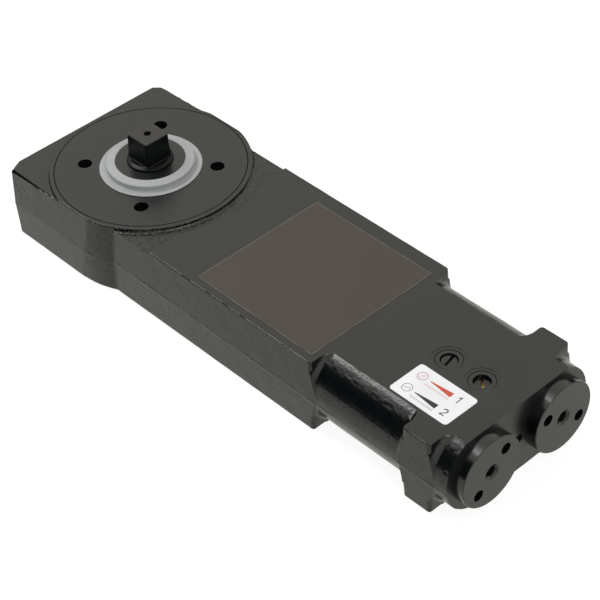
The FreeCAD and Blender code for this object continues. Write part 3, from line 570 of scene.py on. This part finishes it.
def break_edges(skin):
    """Round the top's edges, break the head's and the notch's, and round out the boss's foot."""
    bmesh.ops.dissolve_limit(skin, angle_limit=math.radians(0.2), verts=skin.verts, edges=skin.edges)
    for level in (HEAD_FACE_Z, TOP_FACE_Z):
        near = [vertex for vertex in skin.verts if abs(vertex.co.z / MM - level) < 0.05]
        bmesh.ops.remove_doubles(skin, verts=near, dist=SHORTEST_EDGE * MM)
    bevel_edges(skin, upright_edges(skin, TOP_FACE_Z, True), TOP_EDGE, 3)
    for size, near_notch in ((HEAD_EDGE, False), (NOTCH_EDGE, True)):
        edges = [edge for edge in upright_edges(skin, HEAD_FACE_Z, True)
                 if (edge.verts[0].co.x + edge.verts[1].co.x > 0.004) == near_notch]
        bevel_edges(skin, edges, size, 1)
    foot = [edge for edge in upright_edges(skin, HEAD_FACE_Z, False)
            if max(vertex.co.x for vertex in edge.verts) < 0.002]
    bevel_edges(skin, foot, BOSS_FOOT, 4)
    bmesh.ops.triangulate(skin, faces=[face for face in skin.faces if len(face.verts) > 4])
    skin.normal_update()


def skin_depth(place, kind):
    """How far the skin stands off the true face, in millimetres."""
    waves = noise.noise(place * 0.13 + Vector((7.0, 3.0, 1.0))) * SKIN_WAVES
    if kind == 2:
        return waves * 0.4
    if kind == 3:
        from_boss = math.hypot(place.x, place.y) - BOSS_RADIUS
        nearness = max(0.1, 1.0 - abs(from_boss - GROOVE_MIDDLE) / GROOVE_FADE)
        return noise.noise(place * 0.9) * GROOVE_ROUGHNESS * nearness
    return noise.noise(place * 0.4) * SKIN_ROUGHNESS + waves


def flash_height(place):
    """The thin fin along the parting line; it comes and goes."""
    near = 1.0 - abs(place.z - PARTING_Z) / FLASH_REACH
    if near <= 0.0:
        return 0.0
    slow = noise.noise(Vector((place.x * 0.12, place.y * 0.12, 4.0)))
    quick = noise.noise(Vector((place.x * 0.8, place.y * 0.8, 9.0)))
    return near * FLASH_HEIGHT * max(0.0, 0.55 + 0.7 * slow + 0.8 * quick)


def within_casting(place):
    """The nearest place inside the casting's own box."""
    return Vector(min(max(value, low), high) for value, low, high in zip(place, casting_low, casting_high))


def weather_skin(skin):
    """Move the cast faces' points off their true places; machined faces stay flat."""
    kinds = {face: skin_kind(face) for face in skin.faces}
    moves = []
    for vertex in skin.verts:
        around = [kinds[face] for face in vertex.link_faces]
        if not any(around):
            continue
        place = vertex.co / MM
        broken = HEAD_FACE_Z - BROKEN_EDGE_DEPTH < place.z < HEAD_FACE_Z - NEAR
        if broken and 0.2 < vertex.normal.z < 0.97:
            away = vertex.normal * noise.noise(place * 0.5) * BROKEN_EDGE_WANDER
        elif min(around) > 0:
            away = vertex.normal * (skin_depth(place, max(around)) + flash_height(place))
        else:
            away = edge_wander(vertex, kinds, place)
        moves.append((vertex, within_casting(vertex.co + away * MM)))
    for vertex, target in moves:
        vertex.co = target


def edge_wander(vertex, kinds, place):
    """Where cast skin meets a machined face, its edge wanders within that face."""
    flats = [face.normal for face in vertex.link_faces if kinds[face] == 0]
    casts = [face.normal for face in vertex.link_faces if kinds[face] > 0]
    normal = sum(casts, Vector()).normalized()
    for flat in flats:
        normal = normal - flat * normal.dot(flat)
    wander = noise.noise(place * 0.45 + Vector((2.0, 9.0, 5.0))) - 0.35
    return normal * min(0.0, wander) * EDGE_WANDER


def soft_edge(edge):
    """Whether the shading runs on over an edge: not where a machined face meets a cast one."""
    if not edge.is_manifold:
        return False
    first, second = edge.link_faces
    if (first.material_index == 0) != (second.material_index == 0):
        return False
    return edge.calc_face_angle(0.0) < SOFT_ANGLE


def cast_surface(materials):
    """The casting with its sand-cast skin, made from the casting's own faces."""
    mesh = nodes["body_casting"].data.copy()
    skin = bmesh.new()
    skin.from_mesh(mesh)
    bmesh.ops.remove_doubles(skin, verts=skin.verts, dist=2e-6)
    skin.normal_update()
    break_edges(skin)
    skin_grid(skin)
    skin.normal_update()
    weather_skin(skin)
    skin.normal_update()
    for face in skin.faces:
        face.material_index = skin_kind(face)
        face.smooth = True
    for edge in skin.edges:
        edge.smooth = soft_edge(edge)
    mesh.clear_geometry()
    mesh.materials.clear()
    for material in materials:
        mesh.materials.append(material)
    skin.to_mesh(mesh)
    skin.free()
    made = bpy.data.objects.new("cast_surface", mesh)
    bpy.context.scene.collection.objects.link(made)
    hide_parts("body_casting")
    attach(made, "housing")


# What repeats: threads and the scales' ticks

def geometry_tree(name, inputs):
    """A geometry node group with named inputs and one geometry output."""
    tree = bpy.data.node_groups.new(name, "GeometryNodeTree")
    for title, kind, value in inputs:
        socket = tree.interface.new_socket(title, in_out="INPUT", socket_type="NodeSocket" + kind)
        if value is not None:
            socket.default_value = value
    tree.interface.new_socket("Geometry", in_out="OUTPUT", socket_type="NodeSocketGeometry")
    return tree, tree.nodes.new("NodeGroupInput").outputs


def finish_tree(tree, geometry, finish):
    real = add(tree, "GeometryNodeRealizeInstances", {"Geometry": geometry})
    dressed = add(tree, "GeometryNodeSetMaterial", {"Geometry": real.outputs[0], "Material": finish})
    tree.links.new(dressed.outputs[0], tree.nodes.new("NodeGroupOutput").inputs[0])


def thread_tree():
    """A helical ridge that climbs along Z: the thread of a tapped hole."""
    tree, given = geometry_tree("tapped_thread", [
        ("Turns", "Float", 5.0), ("Radius", "Float", 0.0025), ("Pitch", "Float", 0.001),
        ("Ridge", "Float", 0.0004), ("Finish", "Material", None)])
    rise = math_node(tree, "MULTIPLY", given["Turns"], given["Pitch"])
    path = add(tree, "GeometryNodeCurveSpiral", {
        "Resolution": 32, "Rotations": given["Turns"], "Start Radius": given["Radius"],
        "End Radius": given["Radius"], "Height": rise})
    ridge = add(tree, "GeometryNodeCurvePrimitiveCircle", {"Resolution": 3, "Radius": given["Ridge"]})
    swept = add(tree, "GeometryNodeCurveToMesh", {"Curve": path.outputs[0],
                                                  "Profile Curve": ridge.outputs[0],
                                                  "Fill Caps": True})
    finish_tree(tree, swept.outputs[0], given["Finish"])
    return tree


def tick_tree():
    """A row of equal flat ticks along X."""
    tree, given = geometry_tree("scale_ticks", [
        ("Count", "Int", 9), ("Step", "Vector", (0.001, 0.0, 0.0)), ("Size", "Vector", (0.0002, 0.001, 0.0)),
        ("Finish", "Material", None)])
    row = add(tree, "GeometryNodeMeshLine", {"Count": given["Count"], "Offset": given["Step"]})
    tick = add(tree, "GeometryNodeMeshCube", {"Size": given["Size"]})
    ticks = add(tree, "GeometryNodeInstanceOnPoints", {"Points": row.outputs[0],
                                                       "Instance": tick.outputs[0]})
    finish_tree(tree, ticks.outputs[0], given["Finish"])
    return tree


def grow(name, tree, values, place, body):
    """Run a geometry node tree, and place its plain mesh on a body of the model."""
    maker = bpy.data.objects.new(name + "_maker", bpy.data.meshes.new(name + "_maker"))
    bpy.context.scene.collection.objects.link(maker)
    modifier = maker.modifiers.new(name, "NODES")
    modifier.node_group = tree
    sockets = {item.name: item.identifier for item in tree.interface.items_tree
               if item.in_out == "INPUT"}
    for title, value in values.items():
        modifier[sockets[title]] = value
    seen = bpy.context.evaluated_depsgraph_get()
    mesh = bpy.data.meshes.new_from_object(maker.evaluated_get(seen))
    mesh.name = name
    bpy.data.objects.remove(maker)
    mesh.transform(place)
    return new_piece(name, mesh, body)


def new_piece(name, mesh, body):
    made = bpy.data.objects.new(name, mesh)
    bpy.context.scene.collection.objects.link(made)
    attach(made, body)
    return made


def seam_shade_ring(name, radii, top_z, material, body):
    """A thin flat black ring about the spindle, laid in a seam: painted shade of the gap."""
    profile = [(radii[0], SEAM_LIFT - SEAM_DEPTH), (radii[1], SEAM_LIFT - SEAM_DEPTH),
               (radii[1], SEAM_LIFT), (radii[0], SEAM_LIFT)]
    corners = []
    for step in range(SEAM_STEPS):
        turn = math.tau * step / SEAM_STEPS
        corners += [(radius * MM * math.cos(turn), radius * MM * math.sin(turn), top_z + rise * MM)
                    for radius, rise in profile]
    faces = []
    for step in range(SEAM_STEPS):
        here, after = 4 * step, 4 * ((step + 1) % SEAM_STEPS)
        for side in range(4):
            following = (side + 1) % 4
            faces.append((here + side, after + side, after + following, here + following))
    mesh = bpy.data.meshes.new(name)
    mesh.from_pydata(corners, [], faces)
    solid = bmesh.new()
    solid.from_mesh(mesh)
    bmesh.ops.recalc_face_normals(solid, faces=solid.faces)
    solid.to_mesh(mesh)
    solid.free()
    mesh.materials.append(material)
    new_piece(name, mesh, body)


def tapped_threads(cap_finish, spindle_finish):
    """Threads in the end caps' centre holes and in the hole for the arm's screw."""
    tree = thread_tree()
    mouth_x = cap_high.x - CAP_MOUTH_DEPTH
    for side, node in (("left", "end_cap_left"), ("right", "end_cap_right")):
        low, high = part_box(node)
        centre = (low + high) * 0.5
        place = (Matrix.Translation((mouth_x - CAP_THREAD_TURNS * CAP_THREAD_PITCH, centre.y, centre.z))
                 @ Matrix.Rotation(math.radians(90), 4, "Y"))
        grow("cap_thread_" + side, tree, {
            "Turns": CAP_THREAD_TURNS, "Radius": CAP_THREAD_RADIUS, "Pitch": CAP_THREAD_PITCH,
            "Ridge": CAP_THREAD_RIDGE, "Finish": cap_finish}, place, "housing")
    spindle_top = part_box("pinion_spindle")[1].z
    place = Matrix.Translation((0.0, 0.0, spindle_top - ARM_THREAD_DEPTH))
    grow("arm_screw_thread", tree, {
        "Turns": ARM_THREAD_TURNS, "Radius": ARM_THREAD_RADIUS, "Pitch": ARM_THREAD_PITCH,
        "Ridge": ARM_THREAD_RIDGE, "Finish": spindle_finish}, place, "spindle")


# Printed marks on the adjusting label

def ribbon(points, width):
    """A flat stroke of even width along a row of points, as a list of quads' corners."""
    quads = []
    for start, end in zip(points, points[1:]):
        along = (Vector(end) - Vector(start)).normalized()
        across = Vector((-along.y, along.x)) * width * 0.5
        reach = along * width * 0.5
        quads.append([Vector(start) - reach - across, Vector(end) + reach - across,
                      Vector(end) + reach + across, Vector(start) - reach + across])
    return quads


def arc_points(centre, radius, start, end, steps):
    turns = [math.radians(start + (end - start) * index / steps) for index in range(steps + 1)]
    return [(centre[0] + radius * math.cos(turn), centre[1] + radius * math.sin(turn)) for turn in turns]


def wedge(start, end, narrow, wide):
    """A long wedge that widens from its start to its end."""
    along = (Vector(end) - Vector(start)).normalized()
    across = Vector((-along.y, along.x))
    return [[Vector(start) - across * narrow * 0.5, Vector(end) - across * wide * 0.5,
             Vector(end) + across * wide * 0.5, Vector(start) + across * narrow * 0.5]]


def label_frame(place):
    """A point of the label, in millimetres from its middle along X and Y, in the model's frame."""
    middle = (notice_low + notice_high) * 0.5
    return (middle.x + place[0] * MM, middle.y + place[1] * MM, notice_high.z + PRINT_LIFT)


def print_on_label(name, quads, material):
    mesh = bpy.data.meshes.new(name)
    corners = [label_frame(corner) for quad in quads for corner in quad]
    faces = [tuple(range(index, index + 4)) for index in range(0, len(corners), 4)]
    mesh.from_pydata(corners, [], faces)
    mesh.materials.append(material)
    new_piece(name, mesh, "housing")


def one_stroke(x, y, size):
    return ribbon([(x - 0.25 * size, y + 0.28 * size), (x, y + 0.5 * size), (x, y - 0.5 * size)],
                  STROKE_SHARE * size)


def two_stroke(x, y, size):
    bow = arc_points((x, y + 0.22 * size), 0.27 * size, 165, -40, 8)
    return ribbon(bow + [(x - 0.28 * size, y - 0.5 * size), (x + 0.3 * size, y - 0.5 * size)],
                  STROKE_SHARE * size)


def dial_marks(x, y, turn):
    """A plain dial: a ring with a slot across it, as the screw under it has."""
    ring = ribbon(arc_points((x, y), DIAL_RADIUS, 0, 360, 28), DIAL_LINE)
    slot = math.radians(turn)
    across = Vector((math.cos(slot), math.sin(slot))) * SLOT_HALF_LENGTH
    side = Vector((-across.y, across.x)).normalized() * SLOT_HALF_WIDTH
    middle = Vector((x, y))
    return (ring + ribbon([middle - across + side, middle + across + side], SLOT_LINE)
            + ribbon([middle - across - side, middle + across - side], SLOT_LINE))


def scale_row(y, turn):
    """One row of the label: a dial, and the wedge that widens away from it."""
    return dial_marks(DIAL_X, y, turn) + wedge((-WEDGE_REACH, y), (WEDGE_REACH, y), WEDGE_NARROW,
                                               WEDGE_WIDE)


def adjusting_marks():
    """Two plain dials with numbers and wedge-shaped scales."""
    red = plain_finish("red_print", (0.62, 0.085, 0.05), 0.45)
    black = plain_finish("black_print", (0.012, 0.012, 0.013), 0.45)
    reds = scale_row(ROW_Y, 60)
    blacks = scale_row(-ROW_Y, 20)
    blacks += one_stroke(9.4, ROW_Y, NUMBER_SIZE) + two_stroke(9.6, -ROW_Y, NUMBER_SIZE)
    print_on_label("red_marks", reds, red)
    print_on_label("black_marks", blacks, black)
    tree = tick_tree()
    for name, y, finish in (("upper_ticks", ROW_Y, red), ("lower_ticks", -ROW_Y, black)):
        place = Matrix.Translation(label_frame((-WEDGE_REACH, y - TICK_DROP)))
        grow(name, tree, {"Count": TICK_COUNT, "Step": (TICK_STEP, 0.0, 0.0), "Size": TICK_SIZE,
                          "Finish": finish}, place, "housing")


def dress(node, material):
    """Give a CAD node its finish."""
    mesh = nodes[node].data
    if not mesh.materials:
        mesh.materials.append(material)
    for index in range(len(mesh.materials)):
        mesh.materials[index] = material


def dress_nodes():
    cap_centre_y = 0.5 * (cap_low.y + cap_high.y)
    cap_centre_z = 0.5 * (cap_low.z + cap_high.z)
    machined_paint = painted("machined_paint", 0.30)
    # The last number of each sand-cast paint sets how dark the painted shade in its crevices is
    cast_paint = painted("cast_paint", 0.21, grain=0.075, swell=0.03, pits=0.12, crevice_shade=0.30)
    head_paint = painted("head_paint", 0.26, grain=0.02, swell=0.02, crevice_shade=0.08)
    groove_paint = painted("groove_paint", 0.18, grain=0.22, swell=0.05, sheen=0.52, crevice_shade=0.3)
    edge_paint = painted("edge_paint", 0.35, grain=0.3, sheen=0.05, crevice_shade=0.7)
    cover_paint = painted("cover_paint", 0.30)
    black_steel = spindle_finish(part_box("pinion_spindle")[1].z)
    light_plastic = plain_finish("light_plastic", (0.40, 0.41, 0.415), 0.42)
    rubber = plain_finish("rubber", (0.012, 0.012, 0.012), 0.6)
    ground_steel = plain_finish("ground_steel", (0.45, 0.45, 0.46), 0.3, metallic=1.0)
    piston_iron = plain_finish("piston_iron", (0.20, 0.20, 0.21), 0.35, metallic=1.0)
    ring_plastic = plain_finish("ring_plastic", (0.6, 0.57, 0.5), 0.5)
    # Each film's second colour is its cut edge's line: on the dark film a painted highlight
    dark_film = label_finish("dark_film", name_low, name_high, (0.036, 0.0255, 0.019, 1.0),
                             (0.16, 0.15, 0.135, 1.0), 0.42)
    white_film = label_finish("white_film", notice_low, notice_high, (0.93, 0.93, 0.94, 1.0),
                              (0.80, 0.80, 0.81, 1.0), 0.4)
    # Black matt finish of the seam rings, which paint the shade in the gaps
    painted_seam_shade = plain_finish("painted_seam_shade", (0.004, 0.005, 0.006), 0.7, specular=0.03)
    dress("body_casting", machined_paint)
    cast_surface([machined_paint, cast_paint, head_paint, groove_paint, edge_paint])
    dress("spindle_cover", cover_paint)
    dress("hub_ring", light_plastic)
    dress("pinion_spindle", black_steel)
    dress("gallery_plug", black_steel)
    tapped_threads(black_steel, black_steel)
    adjusting_marks()
    dress("name_label", dark_film)
    dress("adjusting_label", white_film)
    for name in ("cover_seal_ring", "shaft_seal", "sweep_valve_ring", "latch_valve_ring"):
        dress(name, rubber)
    for name in ("upper_bearing_cup", "lower_bearing_cup", "upper_needles", "lower_needles",
                 "upper_washer", "lower_washer"):
        dress(name, ground_steel)
    for side, sign in (("left", 1.0), ("right", -1.0)):
        centre = (0.0, sign * cap_centre_y, cap_centre_z)
        dress("end_cap_" + side, turned_finish("cap_black_" + side, 0.17, centre, (0.0, 1.0, 1.0)))
        dress("rack_piston_" + side, piston_iron)
        dress("piston_ring_" + side, ring_plastic)
        dress("check_ball_" + side, ground_steel)
        dress("check_pin_" + side, ground_steel)
        dress("closing_spring_" + side, piston_iron)
        dress("cap_seal_ring_" + side, rubber)
    for name, glint in (("sweep", 0.0), ("latch", 0.9)):
        dress(name + "_valve_bush", cover_paint)
        screw_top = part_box(name + "_valve")[1].z
        dress(name + "_valve", valve_finish(name + "_valve_paint", screw_top, glint))
    # Thin black rings in the cover's and the hub's seams: painted shade
    seam_shade_ring("cover_seam_shade", COVER_SEAM, TOP_FACE_Z * MM, painted_seam_shade, "housing")
    seam_shade_ring("hub_seam_shade", HUB_SEAM, ring_top - HUB_SEAM_DROP, painted_seam_shade, "housing")


# Studio

WHITE = (1.0, 1.0, 1.0, 1.0)
WARM_WHITE = (1.0, 0.965, 0.87, 1.0)
PAPER = (0.86, 0.86, 0.86, 1.0)
PAPER_GLOW_SHARE = 0.82
PAPER_GLOW = 1.12
PAPER_GLOSS_GLOW = 0.93
ROOM_LIGHT = 0.55
ROOM_SEEN = 1.0
ROOM_GLOSS = 0.18
FLOOR_REACH = 6.0
FLOOR_GAP = 0.0002

# A black strip on the floor beside the near side: two corners and its height
FLOOR_SHADE = ((-1.2, -0.30), (0.30, -0.195))
FLOOR_SHADE_Z = 0.0005

# Soft boxes: name, direction, distance, size, power
SOFT_BOXES = (
    ("left_softbox", (-0.57, -0.18, 0.80), 1.1, 0.45, 5.0),
    ("right_softbox", (0.68, -0.09, 0.73), 1.2, 0.35, 2.5),
)

# Black flags round the closer, seen only in its gloss: name, two corners on the floor, height
FLAGS = (
    ("front_flag", (-1.2, -0.30), (0.20, -0.30), 0.33),
    ("left_flag", (-1.2, 1.0), (-1.2, -0.30), 0.45),
    ("back_flag", (-0.1, 1.6), (-1.2, 1.0), 0.60),
)


def flag_cloth():
    """Black cloth that gives back no light."""
    material = bpy.data.materials.new("flag_cloth")
    material.use_nodes = True
    tree = material.node_tree
    tree.nodes.clear()
    dark = add(tree, "ShaderNodeEmission", {"Color": (0.0, 0.0, 0.0, 1.0), "Strength": 0.0})
    out = add(tree, "ShaderNodeOutputMaterial")
    tree.links.new(dark.outputs[0], out.inputs["Surface"])
    return material


def light_paths(tree):
    """Masks for gloss alone, and for the camera, gloss and glass together."""
    rays = add(tree, "ShaderNodeLightPath").outputs
    seen = math_node(tree, "MAXIMUM", rays["Is Camera Ray"], rays["Is Glossy Ray"])
    return rays["Is Glossy Ray"], math_node(tree, "MAXIMUM", seen, rays["Is Transmission Ray"])


def floor_material():
    """Pale paper: white to the camera and in gloss, keeps the soft shadow, and clear from below."""
    material = bpy.data.materials.new("floor_paper")
    material.use_nodes = True
    tree = material.node_tree
    tree.nodes.clear()
    paper = add(tree, "ShaderNodeBsdfDiffuse", {"Color": PAPER})
    glow = add(tree, "ShaderNodeEmission", {"Strength": 1.0})
    glossy, seen = light_paths(tree)
    share = math_node(tree, "MULTIPLY", seen, PAPER_GLOW_SHARE)
    strength = remap(tree, glossy, 0.0, 1.0, PAPER_GLOW, PAPER_GLOSS_GLOW)
    tree.links.new(mix_colour(tree, glossy, WHITE, WARM_WHITE), glow.inputs["Color"])
    tree.links.new(strength, glow.inputs["Strength"])
    mixed = add(tree, "ShaderNodeMixShader", {0: share, 1: paper.outputs[0], 2: glow.outputs[0]})
    below = add(tree, "ShaderNodeNewGeometry").outputs["Backfacing"]
    clear = add(tree, "ShaderNodeBsdfTransparent")
    shown = add(tree, "ShaderNodeMixShader", {0: below, 1: mixed.outputs[0], 2: clear.outputs[0]})
    out = add(tree, "ShaderNodeOutputMaterial")
    tree.links.new(shown.outputs[0], out.inputs["Surface"])
    return material


def set_world():
    """A white room: plain light on the closer, white behind it and in its gloss."""
    world = bpy.data.worlds.new("studio")
    bpy.context.scene.world = world
    world.use_nodes = True
    tree = world.node_tree
    tree.nodes.clear()
    glossy, seen = light_paths(tree)
    strength = remap(tree, seen, 0.0, 1.0, ROOM_LIGHT, ROOM_SEEN)
    strength = math_node(tree, "MULTIPLY_ADD", glossy, ROOM_GLOSS, strength)
    colour = mix_colour(tree, glossy, WHITE, WARM_WHITE)
    back = add(tree, "ShaderNodeBackground", {"Color": colour, "Strength": strength})
    out = add(tree, "ShaderNodeOutputWorld")
    tree.links.new(back.outputs[0], out.inputs["Surface"])


def area_light(name, direction, distance, size, power):
    data = bpy.data.lights.new(name, "AREA")
    data.shape = "SQUARE"
    data.size = size
    data.energy = power
    lamp = bpy.data.objects.new(name, data)
    bpy.context.scene.collection.objects.link(lamp)
    aim = Vector(direction).normalized()
    lamp.matrix_world = (Matrix.Translation(CAMERA_TARGET + aim * distance)
                         @ aim.to_track_quat("Z", "Y").to_matrix().to_4x4())


def panel(name, corners, material):
    """A flat studio panel through four corners."""
    mesh = bpy.data.meshes.new(name)
    mesh.from_pydata([tuple(corner) for corner in corners], [], [(0, 1, 2, 3)])
    mesh.materials.append(material)
    made = bpy.data.objects.new(name, mesh)
    bpy.context.scene.collection.objects.link(made)
    return made


def rectangle(low, high, level):
    """The four corners of a level rectangle, anticlockwise from above."""
    return [(low[0], low[1], level), (high[0], low[1], level), (high[0], high[1], level),
            (low[0], high[1], level)]


def hide_from_camera(cloth_panel):
    """The panel shows in gloss alone."""
    cloth_panel.visible_camera = False
    cloth_panel.visible_diffuse = False
    cloth_panel.visible_shadow = False


def set_studio():
    level = cad_box[0][2] - FLOOR_GAP
    corners = rectangle((-FLOOR_REACH, -FLOOR_REACH), (FLOOR_REACH, FLOOR_REACH), level)
    panel("floor", corners, floor_material())
    cloth = flag_cloth()
    for name, start, end, height in FLAGS:
        flag = panel(name, [(*start, 0.0), (*end, 0.0), (*end, height), (*start, height)], cloth)
        hide_from_camera(flag)
    hide_from_camera(panel("floor_shade", rectangle(*FLOOR_SHADE, FLOOR_SHADE_Z), cloth))
    for soft_box in SOFT_BOXES:
        area_light(*soft_box)
    set_world()


set_camera()
set_studio()
dress_nodes()
bpy.context.scene.view_settings.view_transform = "Standard"
